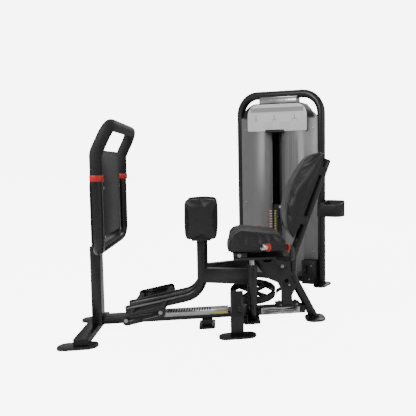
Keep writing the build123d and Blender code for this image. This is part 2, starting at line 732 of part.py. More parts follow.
    # accessory tray on the tower-side leg of the arch
    tray_x, tray_y = tray_size
    tray_at = Pos(tray_centre[0], tray_centre[1], tray_bottom)
    tray = tray_at * extrude(RectangleRounded(tray_x, tray_y, 50), tray_height)
    hollow = RectangleRounded(tray_x - 2 * tray_wall, tray_y - 2 * tray_wall, 50 - tray_wall)
    tray = tray - tray_at * Pos(0, 0, 5) * extrude(hollow, tray_height)
    collar = block(w - 15, w + 42, -42, 42, tray_bottom, tray_bottom + tray_height)
    tray = tray + collar - block(0, w - 15, -200, 200, 0, 1000)
    rim_slope = math.degrees(math.atan2(tray_rim_fall, tray_y))
    rear_rim = Pos(tray_centre[0], tray_centre[1] + tray_y / 2, tray_bottom + tray_height)
    tray = tray - rear_rim * Rot(rim_slope, 0, 0) * block(-200, 200, -300, 60, 0, 200)
    add("accessory_tray", tower * (tray - arch_full))

    # floor tube that ties the tower to the seat frame
    start = Vector(link_start_x, beam_half, 0)
    end = (tower * Pos(link_end_s, 0, 0)).position
    run = Vector(end.X, end.Y, 0) - start
    link_width, link_height = link_size
    plane = Plane(origin=start + run * 0.5 + Vector(0, 0, 50), x_dir=run, z_dir=(0, 0, 1))
    link = plane * (Box(run.length + 120, link_width, link_height)
                    - Box(run.length + 120, link_width - 2 * tube_wall,
                          link_height - 2 * tube_wall))
    cut = tower * block(-400, 400, -25, 400, 0, 200)
    beam_cut = block(900, 1200, -200, beam_half + sheet, 0, 200)
    cover_cut = tower * block(*housing_box)
    add("link_tube", link - cut - beam_cut - cover_cut)


front_post_group()
base_group()
seat_group()
cam_group()
arm_group("near", -1)
arm_group("far", 1)
tower_group()
add("panel_screws", panel_screws)

# ---------------------------------------------------------------- origin and export
everything = Compound(children=[Compound(solids) for solids in parts.values()])
extent = everything.bounding_box()
shift = Pos(-(extent.min.X + extent.max.X) / 2, -(extent.min.Y + extent.max.Y) / 2, 0)
os.makedirs("parts", exist_ok=True)
for node, solids in parts.items():
    moved = [shift * solid for solid in solids]
    export_step(Compound(moved) if len(moved) > 1 else moved[0], f"parts/{node}.step")
print("nodes", len(parts), "shift", shift.position, "size", extent.size)
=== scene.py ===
"""Finishes for the seated hip machine: sewn cushions, labels, fittings and every surface."""
import json
import math

import bmesh
import bpy
from mathutils import Matrix, Vector


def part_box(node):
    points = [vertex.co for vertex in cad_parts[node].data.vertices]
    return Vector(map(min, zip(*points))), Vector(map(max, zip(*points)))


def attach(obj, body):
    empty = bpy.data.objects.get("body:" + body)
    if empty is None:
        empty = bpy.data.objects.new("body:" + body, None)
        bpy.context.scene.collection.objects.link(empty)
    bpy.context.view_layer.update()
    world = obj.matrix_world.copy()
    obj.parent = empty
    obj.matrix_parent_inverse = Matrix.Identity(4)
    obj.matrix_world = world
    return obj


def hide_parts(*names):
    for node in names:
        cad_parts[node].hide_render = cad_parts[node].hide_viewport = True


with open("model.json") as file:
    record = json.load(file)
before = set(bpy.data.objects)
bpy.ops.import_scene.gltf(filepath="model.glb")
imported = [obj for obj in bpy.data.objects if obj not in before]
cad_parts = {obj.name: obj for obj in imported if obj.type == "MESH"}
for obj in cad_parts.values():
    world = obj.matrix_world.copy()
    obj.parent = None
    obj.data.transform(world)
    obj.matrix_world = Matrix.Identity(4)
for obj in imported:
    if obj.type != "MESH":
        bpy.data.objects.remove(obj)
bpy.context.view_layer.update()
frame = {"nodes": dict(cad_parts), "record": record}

MM = 0.001
TOWER_OFFSET = Vector((1.104, 1.055, 0.0))
TOWER_TURN = math.radians(-34.3)
STACK_S = -20 * MM
PLATE_FRONT = 5 * MM
STACK_BOTTOM = 173 * MM
PLATE_PITCH = 13 * MM
PLATES_RESTING = 25
PLATES_LIFTED = 5
PIVOT_Y = 165 * MM
ARM_Y = 60 * MM
ARM_TUBE_RADIUS = 27 * MM
ARM_TIP = (157, 126)
ARM_BEND = (553, 202)
PEG_POSITIONS = (190, 354)
PIVOT_X = 820
ARCH_HALF_WIDTH = 344
BACK_HEEL = (1056, 522)
BACK_HEAD = (1232, 975)
SPINE_TOP = (1264, 938)
SPINE_KNEE = (1062, 380)
CLOTH_FRAMES = 20
VOXEL = 0.006
BACKDROP_GLOW = 7.0


def middle(low, high):
    """The point halfway between two corners."""
    return (Vector(low) + Vector(high)) * 0.5


post = middle(*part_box("front_post"))
origin = Vector((post.x, post.y, 0.0))
tower = Matrix.Translation(origin + TOWER_OFFSET) @ Matrix.Rotation(TOWER_TURN, 4, "Z")


def at(x, y, z):
    """A point given in millimetres from the front post's foot."""
    return origin + Vector((x, y, z)) * MM


# ---------------------------------------------------------------- shader groups
def shader_group(name, inputs, outputs, build):
    """A shader node group with named sockets, filled in by build."""
    tree = bpy.data.node_groups.new(name, "ShaderNodeTree")
    for label, kind, value in inputs:
        socket = tree.interface.new_socket(label, in_out="INPUT", socket_type=kind)
        if value is not None:
            socket.default_value = value
    for label, kind in outputs:
        tree.interface.new_socket(label, in_out="OUTPUT", socket_type=kind)
    build(tree, tree.nodes.new("NodeGroupInput"), tree.nodes.new("NodeGroupOutput"))
    return tree


def noise(tree, vector, scale, detail, distortion=0.0):
    """A noise texture's value over the vector."""
    node = tree.nodes.new("ShaderNodeTexNoise")
    node.inputs["Detail"].default_value = detail
    node.inputs["Distortion"].default_value = distortion
    if isinstance(scale, (int, float)):
        node.inputs["Scale"].default_value = scale
    else:
        tree.links.new(scale, node.inputs["Scale"])
    tree.links.new(vector, node.inputs["Vector"])
    return node.outputs["Fac"]


def maths(tree, operation, first, second, third=None):
    """One math node; each value is a number or a socket."""
    node = tree.nodes.new("ShaderNodeMath")
    node.operation = operation
    for index, value in enumerate((first, second, third)):
        if isinstance(value, (int, float)):
            node.inputs[index].default_value = value
        elif value is not None:
            tree.links.new(value, node.inputs[index])
    return node.outputs[0]


def ramp(tree, value, low, high, out_low=0.0, out_high=1.0):
    """The value spread from one range to another and held inside it."""
    node = tree.nodes.new("ShaderNodeMapRange")
    for label, number in (("From Min", low), ("From Max", high), ("To Min", out_low),
                          ("To Max", out_high)):
        node.inputs[label].default_value = number
    tree.links.new(value, node.inputs["Value"])
    return node.outputs["Result"]


def mix_colour(tree, amount, first, second, blend="MIX"):
    """Two colours mixed by an amount."""
    node = tree.nodes.new("ShaderNodeMix")
    node.data_type = "RGBA"
    node.blend_type = blend
    for socket, value in ((node.inputs["Factor"], amount), (node.inputs["A"], first),
                          (node.inputs["B"], second)):
        matches = [s for s in node.inputs if s.name == socket.name and s.type == "RGBA"]
        target = matches[0] if matches else node.inputs[0]
        if isinstance(value, bpy.types.NodeSocket):
            tree.links.new(value, target)
        else:
            target.default_value = value
    return [s for s in node.outputs if s.type == "RGBA"][0]


def build_ageing(tree, inlet, outlet):
    """Uneven tone, fine rubbed marks and settled dust."""
    vector = inlet.outputs["Vector"]
    broad = ramp(tree, noise(tree, vector, 7.0, 5.0), 0.3, 0.7, 0.0, 1.0)
    toned = mix_colour(tree, maths(tree, "MULTIPLY", broad, inlet.outputs["Unevenness"]),
                       inlet.outputs["Colour"], inlet.outputs["Worn Colour"])
    stretch = tree.nodes.new("ShaderNodeMapping")
    stretch.inputs["Rotation"].default_value = (0.5, 0.8, 0.3)
    stretch.inputs["Scale"].default_value = (30.0, 260.0, 30.0)
    tree.links.new(vector, stretch.inputs["Vector"])
    rubbed = ramp(tree, noise(tree, stretch.outputs[0], 1.0, 6.0), 0.66, 0.76)
    patchy = ramp(tree, noise(tree, vector, 14.0, 2.0), 0.5, 0.65)
    marks = maths(tree, "MULTIPLY", maths(tree, "MULTIPLY", rubbed, patchy), inlet.outputs["Wear"])
    coloured = mix_colour(tree, marks, toned, inlet.outputs["Worn Colour"])
    speckle = maths(tree, "SUBTRACT", noise(tree, vector, 60.0, 4.0), 0.5)
    rough = maths(tree, "MULTIPLY_ADD", speckle, 0.18, inlet.outputs["Roughness"])
    rough = maths(tree, "MULTIPLY_ADD", marks, 0.2, rough)
    tree.links.new(coloured, outlet.inputs["Colour"])
    tree.links.new(rough, outlet.inputs["Roughness"])


def build_orange_peel(tree, inlet, outlet):
    """The slow ripple and fine pitting of baked powder."""
    ripple = noise(tree, inlet.outputs["Vector"], inlet.outputs["Scale"], 2.0)
    fine = noise(tree, inlet.outputs["Vector"], 1900.0, 1.0)
    tree.links.new(maths(tree, "MULTIPLY_ADD", fine, 0.35, ripple), outlet.inputs["Height"])


def build_hide(tree, inlet, outlet):
    """Pebbled vinyl: small rounded cells with shallow creases between them."""
    warp = tree.nodes.new("ShaderNodeVectorMath")
    warp.operation = "MULTIPLY_ADD"
    swirl = tree.nodes.new("ShaderNodeTexNoise")
    swirl.inputs["Scale"].default_value = 220.0
    tree.links.new(inlet.outputs["Vector"], swirl.inputs["Vector"])
    tree.links.new(swirl.outputs["Color"], warp.inputs[0])
    warp.inputs[1].default_value = (0.0016, 0.0016, 0.0016)
    tree.links.new(inlet.outputs["Vector"], warp.inputs[2])
    cells = tree.nodes.new("ShaderNodeTexVoronoi")
    cells.feature = "SMOOTH_F1"
    tree.links.new(warp.outputs[0], cells.inputs["Vector"])
    tree.links.new(inlet.outputs["Scale"], cells.inputs["Scale"])
    pebble = maths(tree, "SUBTRACT", 1.0, cells.outputs["Distance"])
    crease = noise(tree, inlet.outputs["Vector"], 36.0, 5.0, 0.6)
    tree.links.new(maths(tree, "MULTIPLY_ADD", crease, 0.9, pebble), outlet.inputs["Height"])


def build_lines(tree, inlet, outlet):
    """Brush lines across the stretched direction."""
    coarse = noise(tree, inlet.outputs["Vector"], inlet.outputs["Scale"], 6.0)
    tree.links.new(coarse, outlet.inputs["Height"])


FLOAT, COLOUR, VECTOR = "NodeSocketFloat", "NodeSocketColor", "NodeSocketVector"
ageing = shader_group(
    "surface_ageing",
    [("Vector", VECTOR, None), ("Colour", COLOUR, (0.5, 0.5, 0.5, 1)),
     ("Worn Colour", COLOUR, (0.6, 0.6, 0.6, 1)), ("Roughness", FLOAT, 0.5), ("Wear", FLOAT, 0.5),
     ("Unevenness", FLOAT, 0.3)],
    [("Colour", COLOUR), ("Roughness", FLOAT)], build_ageing)
height_sockets = [("Vector", VECTOR, None), ("Scale", FLOAT, 500.0)]
orange_peel = shader_group("orange_peel", height_sockets, [("Height", FLOAT)], build_orange_peel)
hide_grain = shader_group("hide_grain", height_sockets, [("Height", FLOAT)], build_hide)
brush_lines = shader_group("brush_lines", height_sockets, [("Height", FLOAT)], build_lines)


# ---------------------------------------------------------------- finishes
def finish(name, colour, worn, rough, relief, scale, depth, wear=0.4, uneven=0.3,
           stretch=(1, 1, 1), **sockets):
    """A finish whose tone, gloss and relief vary over the surface."""
    material = bpy.data.materials.new(name)
    material.use_nodes = True
    tree = material.node_tree
    shader = tree.nodes["Principled BSDF"]
    for label, value in sockets.items():
        shader.inputs[label.replace("_", " ")].default_value = value
    coords = tree.nodes.new("ShaderNodeTexCoord").outputs["Object"]
    aged = tree.nodes.new("ShaderNodeGroup")
    aged.node_tree = ageing
    for label, value in (("Colour", (*colour, 1)), ("Worn Colour", (*worn, 1)),
                         ("Roughness", rough), ("Wear", wear), ("Unevenness", uneven)):
        aged.inputs[label].default_value = value
    tree.links.new(coords, aged.inputs["Vector"])
    tree.links.new(aged.outputs["Colour"], shader.inputs["Base Color"])
    tree.links.new(aged.outputs["Roughness"], shader.inputs["Roughness"])
    mapping = tree.nodes.new("ShaderNodeMapping")
    mapping.inputs["Scale"].default_value = stretch
    tree.links.new(coords, mapping.inputs["Vector"])
    raised = tree.nodes.new("ShaderNodeGroup")
    raised.node_tree = relief
    raised.inputs["Scale"].default_value = scale
    tree.links.new(mapping.outputs[0], raised.inputs["Vector"])
    bump = tree.nodes.new("ShaderNodeBump")
    bump.inputs["Strength"].default_value = 1.0
    bump.inputs["Distance"].default_value = depth
    tree.links.new(raised.outputs["Height"], bump.inputs["Height"])
    tree.links.new(bump.outputs[0], shader.inputs["Normal"])
    return material


finishes = {
    "frame_black": finish("powder_coat_black", (0.005, 0.005, 0.0055), (0.014, 0.014, 0.0145), 0.33,
                          orange_peel, 420.0, 0.00012, Coat_Weight=0.12, Coat_Roughness=0.3),
    "upholstery_black": finish("vinyl_black", (0.008, 0.008, 0.0085), (0.016, 0.016, 0.0165), 0.44,
                               hide_grain, 620.0, 0.00045, wear=0.15, uneven=0.5,
                               Sheen_Weight=0.12, Sheen_Roughness=0.4),
    "shroud_silver": finish("silver_coat", (0.2, 0.2, 0.205), (0.25, 0.25, 0.255), 0.42,
                            orange_peel, 500.0, 0.00007, wear=0.2, Metallic=0.35),
    "shell_black": finish("moulded_black", (0.007, 0.007, 0.0075), (0.018, 0.018, 0.018), 0.55,
                          orange_peel, 1100.0, 0.00012),
    "placard_white": finish("placard_white", (0.78, 0.78, 0.77), (0.7, 0.7, 0.69), 0.4,
                            orange_peel, 900.0, 0.00003, wear=0.15, uneven=0.15),
    "clamp_red": finish("moulded_red", (0.58, 0.01, 0.008), (0.62, 0.04, 0.03), 0.38,
                        orange_peel, 900.0, 0.00008, wear=0.3),
    "chrome_bright": finish("chrome", (0.62, 0.62, 0.63), (0.5, 0.5, 0.5), 0.1,
                            brush_lines, 90.0, 0.000015, wear=0.2, uneven=0.15, Metallic=1.0),
    "trim_bright": finish("brushed_steel", (0.56, 0.56, 0.56), (0.48, 0.48, 0.48), 0.3,
                          brush_lines, 9.0, 0.000012, wear=0.15, uneven=0.2,
                          stretch=(6, 120, 120), Metallic=1.0),
    "rubber_black": finish("soft_rubber", (0.008, 0.008, 0.008), (0.02, 0.02, 0.0195), 0.68,
                           orange_peel, 1500.0, 0.0002, wear=0.5),
    "fastener_steel": finish("zinc_steel", (0.4, 0.4, 0.41), (0.24, 0.24, 0.24), 0.34,
                             brush_lines, 120.0, 0.00003, Metallic=1.0),
    "weight_black": finish("stack_plate", (0.009, 0.009, 0.0095), (0.035, 0.035, 0.035), 0.5,
                           orange_peel, 700.0, 0.0002, wear=0.9),
    "pin_black": finish("knob_black", (0.014, 0.014, 0.014), (0.04, 0.04, 0.04), 0.35,
                        orange_peel, 1200.0, 0.00006),
    "belt_black": finish("belt_black", (0.012, 0.012, 0.012), (0.03, 0.03, 0.03), 0.7,
                         brush_lines, 9.0, 0.0002, stretch=(30, 30, 300)),
    "pulley_black": finish("nylon_black", (0.017, 0.017, 0.017), (0.04, 0.04, 0.04), 0.45,
                           orange_peel, 900.0, 0.0001),
}
print_grey = finish("print_grey", (0.33, 0.34, 0.35), (0.4, 0.4, 0.4), 0.5, orange_peel, 900.0,
                    0.00002, wear=0.2)
print_pale = finish("print_pale", (0.6, 0.6, 0.6), (0.55, 0.55, 0.55), 0.5, orange_peel, 900.0,
                    0.00002, wear=0.2)
print_yellow = finish("print_yellow", (0.68, 0.6, 0.12), (0.5, 0.45, 0.2), 0.5, orange_peel, 900.0,
                      0.00002, wear=0.3)
floor_finish = finish("pale_floor", (0.86, 0.86, 0.86), (0.84, 0.84, 0.84), 0.7, orange_peel, 40.0,
                      0.0001, wear=0.0, uneven=0.2)


# ---------------------------------------------------------------- CAD nodes
def dress_nodes():
    """Every carried-over node gets its finish, and its sharp edges a small round."""
    slots = {row["node"]: row["material_slot"] for row in frame["record"]["subparts"]}
    for name, node in frame["nodes"].items():
        material = finishes[slots[name]]
        if not node.material_slots:
            node.data.materials.append(material)
        for item in node.material_slots:
            item.material = material
        weld = node.modifiers.new("weld", "WELD")
        weld.merge_threshold = 0.00001
        bevel = node.modifiers.new("edge_round", "BEVEL")
        bevel.width = 0.0011
        bevel.segments = 2
        bevel.limit_method = "ANGLE"
        bevel.angle_limit = math.radians(40)
        bevel.harden_normals = True
        node.data.polygons.foreach_set("use_smooth", [True] * len(node.data.polygons))


# ---------------------------------------------------------------- making pieces
def piece(name, bm, body, slot, material=None, smooth=False):
    """A finished mesh piece that rides on a body."""
    bmesh.ops.recalc_face_normals(bm, faces=bm.faces)
    mesh = bpy.data.meshes.new(name)
    bm.to_mesh(mesh)
    bm.free()
    thing = bpy.data.objects.new(name, mesh)
    bpy.context.scene.collection.objects.link(thing)
    mesh.materials.append(material or finishes[slot])
    mesh.polygons.foreach_set("use_smooth", [smooth] * len(mesh.polygons))
    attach(thing, body)
    return thing


def add_box(bm, low, high, place=Matrix.Identity(4), round_by=0.0):
    """A box between two corners, with rounded edges where wanted."""
    low, high = Vector(low), Vector(high)
    size = high - low
    form = place @ Matrix.Translation((low + high) * 0.5) @ Matrix.Diagonal((*size, 1))
    made = bmesh.ops.create_cube(bm, size=1.0, matrix=form)
    if round_by:
        edges = list({edge for vert in made["verts"] for edge in vert.link_edges})
        bmesh.ops.bevel(bm, geom=edges, offset=round_by, segments=2, profile=0.5,
                        affect="EDGES", material=-1)


def add_turned(bm, profile, start, axis, steps=32):
    """A turned piece: (distance along the axis, radius) points spun round it."""
    turn = Vector((0, 0, 1)).rotation_difference(Vector(axis)).to_matrix().to_4x4()
    place = Matrix.Translation(start) @ turn
    before = set(bm.verts)
    verts = [bm.verts.new(place @ Vector((radius, 0, along))) for along, radius in profile]
    edges = [bm.edges.new(pair) for pair in zip(verts, verts[1:])]
    bmesh.ops.spin(bm, geom=verts + edges, cent=start, axis=Vector(axis).normalized(),
                   dvec=(0, 0, 0), angle=math.tau, steps=steps, use_merge=True, use_duplicate=False)
    fresh = [vert for vert in bm.verts if vert not in before]
    bmesh.ops.remove_doubles(bm, verts=fresh, dist=0.00002)


def add_hex_bolt(bm, start, axis, radius=0.009, height=0.006):
    """A hexagon head on a washer."""
    turn = Vector((0, 0, 1)).rotation_difference(Vector(axis)).to_matrix().to_4x4()
    place = Matrix.Translation(start) @ turn
    washer = 0.0015
    bmesh.ops.create_cone(bm, cap_ends=True, segments=28, radius1=radius * 1.35,
                          radius2=radius * 1.3, depth=washer,
                          matrix=place @ Matrix.Translation((0, 0, washer / 2)))
    made = bmesh.ops.create_cone(bm, cap_ends=True, segments=6, radius1=radius, radius2=radius,
                                 depth=height,
                                 matrix=place @ Matrix.Translation((0, 0, washer + height / 2)))
    rim = list({edge for vert in made["verts"] for edge in vert.link_edges})
    bmesh.ops.bevel(bm, geom=rim, offset=radius * 0.1, segments=1, profile=0.5, affect="EDGES",
                    material=-1)


# ---------------------------------------------------------------- upholstery
def flatten(verts, base, normal):
    """Points past the backing board are brought back onto it."""
    for vert in verts:
        depth = (vert.co - base).dot(normal)
        if depth < 0:
            vert.co -= normal * depth


def cushion(node, body, base, normal, slack, crown):
    """A sewn cushion blown up by cloth simulation from the form of its CAD solid.

    base and normal give the backing board: the cushion stays flat against it.
    """
    name = node + "_cover"
    bm = bmesh.new()
    bm.from_mesh(frame["nodes"][node].data)
    bmesh.ops.remove_doubles(bm, verts=bm.verts, dist=0.00005)
    mesh = bpy.data.meshes.new(name)
    bm.to_mesh(mesh)
    bm.free()
    thing = bpy.data.objects.new(name, mesh)
    bpy.context.scene.collection.objects.link(thing)
    remesh = thing.modifiers.new("even", "REMESH")
    remesh.mode = "VOXEL"
    remesh.voxel_size = VOXEL
    normal = Vector(normal).normalized()
    base = Vector(base)
    settled(thing)
    bm = bmesh.new()
    bm.from_mesh(thing.data)
    bm.normal_update()
    for vert in bm.verts:
        vert.co -= vert.normal * slack
    for _ in range(5):
        bmesh.ops.smooth_vert(bm, verts=bm.verts, factor=0.5, use_axis_x=True, use_axis_y=True,
                              use_axis_z=True)
    for vert in bm.verts:
        depth = (vert.co - base).dot(normal)
        if depth < slack + 0.002:
            vert.co -= normal * depth
    bm.to_mesh(thing.data)
    bm.free()
    blow_up(thing, base, normal, crown)
    bm = bmesh.new()
    bm.from_mesh(thing.data)
    flatten(bm.verts, base, normal)
    bm.to_mesh(thing.data)
    bm.free()
    soften = thing.modifiers.new("soften", "SUBSURF")
    soften.levels = 1
    soften.render_levels = 1
    thing.data.polygons.foreach_set("use_smooth", [True] * len(thing.data.polygons))
    thing.data.materials.clear()
    thing.data.materials.append(finishes["upholstery_black"])
    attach(thing, body)
    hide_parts(node)
    return thing


def settled(thing):
    """Turns what the object's modifiers show into its own mesh."""
    graph = bpy.context.evaluated_depsgraph_get()
    shown = bpy.data.meshes.new_from_object(thing.evaluated_get(graph))
    thing.modifiers.clear()
    thing.data = shown


def blow_up(thing, base, normal, crown):
    """Cloth with air pressure inside, pinned where it is stapled to its board."""
    still = [vert.co.copy() for vert in thing.data.vertices]
    pins = thing.vertex_groups.new(name="board")
    held = [i for i, point in enumerate(still) if (point - base).dot(normal) < 0.004]
    pins.add(held, 1.0, "REPLACE")
    cloth = thing.modifiers.new("swell", "CLOTH")
    cloth.settings.vertex_group_mass = pins.name
    cloth.settings.use_pressure = True
    cloth.settings.uniform_pressure_force = 4.0
    cloth.settings.effector_weights.gravity = 0.0
    cloth.settings.quality = 5
    cloth.settings.tension_stiffness = 12.0
    cloth.settings.compression_stiffness = 12.0
    cloth.collision_settings.use_collision = False
    cloth.point_cache.frame_start = 1
    cloth.point_cache.frame_end = CLOTH_FRAMES
    for number in range(1, CLOTH_FRAMES + 1):
        bpy.context.scene.frame_set(number)
    settled(thing)
    for vert, start in zip(thing.data.vertices, still):
        move = vert.co - start
        if move.length > crown:
            vert.co = start + move * (crown / move.length)
    thing.vertex_groups.clear()
    bpy.context.scene.frame_set(1)


def seam(name, cover, point, normal, body, radius=0.0016):
    """A raised sewn seam where a plane meets the cushion's surface."""
    graph = bpy.context.evaluated_depsgraph_get()
    shown = cover.evaluated_get(graph).to_mesh()
    bm = bmesh.new()
    bm.from_mesh(shown)
    cover.evaluated_get(graph).to_mesh_clear()
    cut = bmesh.ops.bisect_plane(bm, geom=bm.verts[:] + bm.edges[:] + bm.faces[:],
                                 plane_co=point, plane_no=Vector(normal).normalized())
    line = {item for item in cut["geom_cut"] if isinstance(item, bmesh.types.BMEdge)}
    bmesh.ops.delete(bm, geom=[edge for edge in bm.edges if edge not in line], context="EDGES")
    bmesh.ops.delete(bm, geom=[vert for vert in bm.verts if not vert.link_edges], context="VERTS")
    mesh = bpy.data.meshes.new(name)
    bm.to_mesh(mesh)
    bm.free()
    thing = bpy.data.objects.new(name, mesh)
    bpy.context.scene.collection.objects.link(thing)
    bpy.ops.object.select_all(action="DESELECT")
    thing.select_set(True)
    bpy.context.view_layer.objects.active = thing
    bpy.ops.object.convert(target="CURVE")
    thing.data.bevel_depth = radius
    thing.data.bevel_resolution = 2
    bpy.ops.object.convert(target="MESH")
    thing.data.materials.append(finishes["upholstery_black"])
    thing.data.polygons.foreach_set("use_smooth", [True] * len(thing.data.polygons))
    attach(thing, body)


def upholster():
    """Seat, back and both thigh pads, each with its sewn edge."""
    seat_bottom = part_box("seat_cushion")[0][2]
    seat = cushion("seat_cushion", "frame", (0, 0, seat_bottom), (0, 0, 1), 0.009, 0.02)
    tilt = Vector((0.11, 0, 1))
    seam("seat_seam", seat, at(853, 0, 508), tilt, "frame")
    seam("seat_lower_seam", seat, at(853, 0, 459), (0, 0, 1), "frame", 0.0012)

    heel = at(BACK_HEEL[0], 0, BACK_HEEL[1])
    lean = Vector((BACK_HEAD[0] - BACK_HEEL[0], 0, BACK_HEAD[1] - BACK_HEEL[1])).normalized()
    out = Vector((-lean.z, 0, lean.x))
    back = cushion("back_cushion", "frame", heel, out, 0.009, 0.022)
    seam("back_seam", back, heel + out * 0.03, out, "frame")

    for side, name in ((-1, "near"), (1, "far")):
        low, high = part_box(name + "_pad")
        inner = high[1] if side < 0 else low[1]
        outward = Vector((0, side, 0))
        pad = cushion(name + "_pad", name + "_arm", (0, inner, 0), outward, 0.007, 0.014)
        seam(name + "_pad_seam", pad, Vector((0, inner, 0)) + outward * 0.038, outward,
             name + "_arm")
        seam(name + "_pad_back_seam", pad, Vector((0, inner, 0)) + outward * 0.006, outward,
             name + "_arm", 0.0012)


# ---------------------------------------------------------------- printed marks
def tower_marks():
    """Plain marks on the placard, a yellow mark on each plate and blocks down the lip."""
    face = -51.5 * MM - 3 * MM
    proud = 0.5 * MM

    def patch(bm, s0, s1, z0, z1, depth=face):
        add_box(bm, (s0 * MM, depth - proud, z0 * MM), (s1 * MM, depth, z1 * MM), tower)

    band = bmesh.new()
    patch(band, -225, 225, 1308, 1342)
    piece("placard_band", band, "frame", "placard_white", print_grey)
    rows = bmesh.new()
    for column, lines in ((-70, 5), (70, 5)):
        for line in range(lines):
            width = 46 - 7 * (line % 3)
            patch(rows, column - width, column + width, 1226 - line * 11, 1230 - line * 11)
    patch(rows, -215, 215, 1298, 1300)
    piece("placard_rows", rows, "frame", "placard_white", print_pale)
    figures = bmesh.new()
    for centre, spread in ((-178, 7), (-20, 12), (150, 16)):
        head = tower @ Matrix.Translation((centre * MM, face - proud / 2, 1282 * MM)) @ (
            Matrix.Rotation(math.pi / 2, 4, "X"))
        bmesh.ops.create_cone(figures, cap_ends=True, segments=24, radius1=5 * MM, radius2=5 * MM,
                              depth=proud, matrix=head)
        patch(figures, centre - 4, centre + 4, 1254, 1275)
        for leg in (-1, 1):
            patch(figures, centre + leg * spread - 2, centre + leg * spread + 2, 1236, 1256)
        patch(figures, centre - spread, centre + spread, 1252, 1256)
    piece("placard_figures", figures, "frame", "placard_white", print_grey)

    def plate_marks(name, first, count, body):
        marks = bmesh.new()
        for index in range(first, first + count):
            z0 = (STACK_BOTTOM + index * PLATE_PITCH) / MM + 3.2
            patch(marks, -58, -44, z0, z0 + 6, PLATE_FRONT)
        piece(name, marks, body, "weight_black", print_yellow)

    plate_marks("resting_marks", 0, PLATES_RESTING, "frame")
    plate_marks("lifted_marks", PLATES_RESTING, PLATES_LIFTED, "stack")

    # blocks down the left lip of the slot, which slopes back into the tower
    lip_front = Vector((-100, -44, 0)) * MM
    lip_rear = Vector((-72, -4, 0)) * MM
    run = lip_rear - lip_front
    turn = Matrix.Rotation(math.atan2(run.y, run.x), 4, "Z")
    for name, tint, start in (("lip_white_blocks", print_pale, 0), ("lip_red_blocks", None, 1)):
        blocks = bmesh.new()
        for index in range(start, 22, 2 if start else 1):
            z0 = (128 + index * 20) * MM
            wide = (6, 20) if start else (23, 46)
            place = tower @ Matrix.Translation(lip_front) @ turn
            add_box(blocks, (wide[0] * MM, -2.4 * MM, z0), (wide[1] * MM, -1.6 * MM, z0 + 10 * MM),
                    place)
        piece(name, blocks, "frame", "placard_white", tint or finishes["clamp_red"])


def shroud_beads():
    """Pressed beads down the right shroud, and the slot's black head trim."""
    beads = bmesh.new()
    for s in (96, 132, 168):
        place = tower @ Matrix.Translation((s * MM, -51.5 * MM, 965 * MM))
        form = place @ Matrix.Diagonal((9 * MM, 2.2 * MM, 165 * MM, 1))
        bmesh.ops.create_uvsphere(beads, u_segments=16, v_segments=24, radius=1.0, matrix=form)
    piece("shroud_beads", beads, "frame", "shroud_silver", smooth=True)
    trim = bmesh.new()
    add_box(trim, (-97 * MM, -56 * MM, 1156 * MM), (63 * MM, -52 * MM, 1175 * MM), tower,
            round_by=0.0012)
    piece("slot_trim", trim, "frame", "shell_black")


def base_marks():
    """The label on the tread, and grip ribs over it."""
    label = bmesh.new()
    add_box(label, at(608, -53.4, 80), at(686, -53, 94))
    piece("tread_label", label, "frame", "placard_white", print_yellow)
    ribs = bmesh.new()
    for step in range(17):
        x = 362 + step * 14
        add_box(ribs, at(x, -38, 97), at(x + 6, 38, 98.4), round_by=0.0005)
    piece("tread_ribs", ribs, "frame", "rubber_black")


# ---------------------------------------------------------------- fittings
def bolts():
    """Hexagon bolts on the stand and its flange, and the nuts under the pivots."""
    heads = bmesh.new()
    for side in (-1, 1):
        out = (0, side, 0)
        for x, z, radius in ((996, 331, 0.0075), (1035, 222, 0.005)):
            add_hex_bolt(heads, at(x, side * 48, z), out, radius)
        add_hex_bolt(heads, at(752, side * 190, 424), out, 0.008)
    for x in (985, 1078):
        for y in (-45, 45):
            add_hex_bolt(heads, at(x, y, 104), (0, 0, 1), 0.007)
    piece("stand_bolts", heads, "frame", "fastener_steel")
    nuts = bmesh.new()
    for side in (-1, 1):
        add_hex_bolt(nuts, at(PIVOT_X, side * PIVOT_Y / MM, 49), (0, 0, -1), 0.011, 0.008)
    piece("pivot_nuts", nuts, "frame", "fastener_steel")


def end_caps():
    """Domed plugs in the open ends of the tubes."""
    dome = [(0.0, 0.0), (0.0, 0.9), (0.14, 1.0), (0.3, 0.86), (0.38, 0.5), (0.4, 0.0)]
    slope = Vector((ARM_BEND[0] - ARM_TIP[0], 0, ARM_BEND[1] - ARM_TIP[1])).normalized()
    for side, name in ((-1, "near"), (1, "far")):
        cap = bmesh.new()
        profile = [(a * 0.012, r * (ARM_TUBE_RADIUS - 0.0005)) for a, r in dome]
        add_turned(cap, profile, at(ARM_TIP[0], side * ARM_Y / MM, ARM_TIP[1]), -slope)
        piece(name + "_tube_cap", cap, name + "_arm", "rubber_black", smooth=True)
    cap = bmesh.new()
    lean = Vector((SPINE_TOP[0] - SPINE_KNEE[0], 0, SPINE_TOP[1] - SPINE_KNEE[1])).normalized()
    add_turned(cap, [(a * 0.012, r * 0.0245) for a, r in dome],
               at(SPINE_TOP[0], 0, SPINE_TOP[1]), lean)
    piece("spine_cap", cap, "frame", "rubber_black", smooth=True)
    foot = bmesh.new()
    for side in (-1, 1):
        low, high = sorted((side * 252, side * 256))
        add_box(foot, at(-66, low, 13), at(4, high, 44), round_by=0.0015)
    piece("foot_tube_caps", foot, "frame", "rubber_black")


